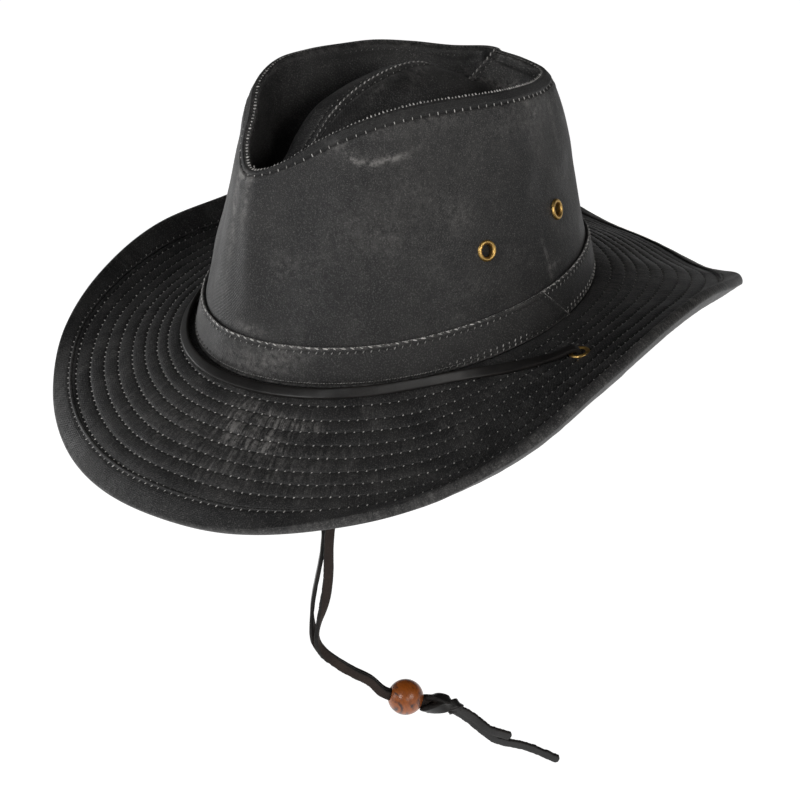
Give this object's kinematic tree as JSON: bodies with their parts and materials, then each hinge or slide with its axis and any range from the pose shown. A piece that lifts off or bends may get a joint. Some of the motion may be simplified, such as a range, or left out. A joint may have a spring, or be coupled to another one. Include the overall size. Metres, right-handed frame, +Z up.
{
  "type": "bush hat",
  "caption": "Black waxed-cloth bush hat: pinched teardrop crown, quilted brim with rolled sides, bound edge, brass eyelets, leather chin lace with wooden bead",
  "frame": {"origin": "the middle of the head opening, level with the foot of the crown where the brim begins", "axes": "+Z is up out of the crown, -Y is the front of the hat, +X is the wearer's left"},
  "size_m": [0.3128, 0.3495, 0.3654],
  "materials": {
    "waxed_cloth": "waxed, worn paler at folds and seams",
    "brass": "polished",
    "leather": "smooth face, rough flesh side",
    "bead_wood": "lacquered, dark grain"
  },
  "bodies": {
    "root": {"crown_side": "waxed_cloth", "tip_left": "waxed_cloth", "tip_right": "waxed_cloth", "hat_band": "waxed_cloth", "brim": "waxed_cloth", "brim_binding": "waxed_cloth", "eyelet_left_front": "brass", "eyelet_left_back": "brass", "eyelet_right_front": "brass", "eyelet_right_back": "brass", "brim_eyelet_left": "brass", "brim_eyelet_right": "brass", "lace_front": "leather", "lace_left": "leather", "lace_right": "leather", "bead": "bead_wood", "chin_knot": "leather", "tail_long": "leather", "tail_short": "leather"}
  },
  "joints": []
}
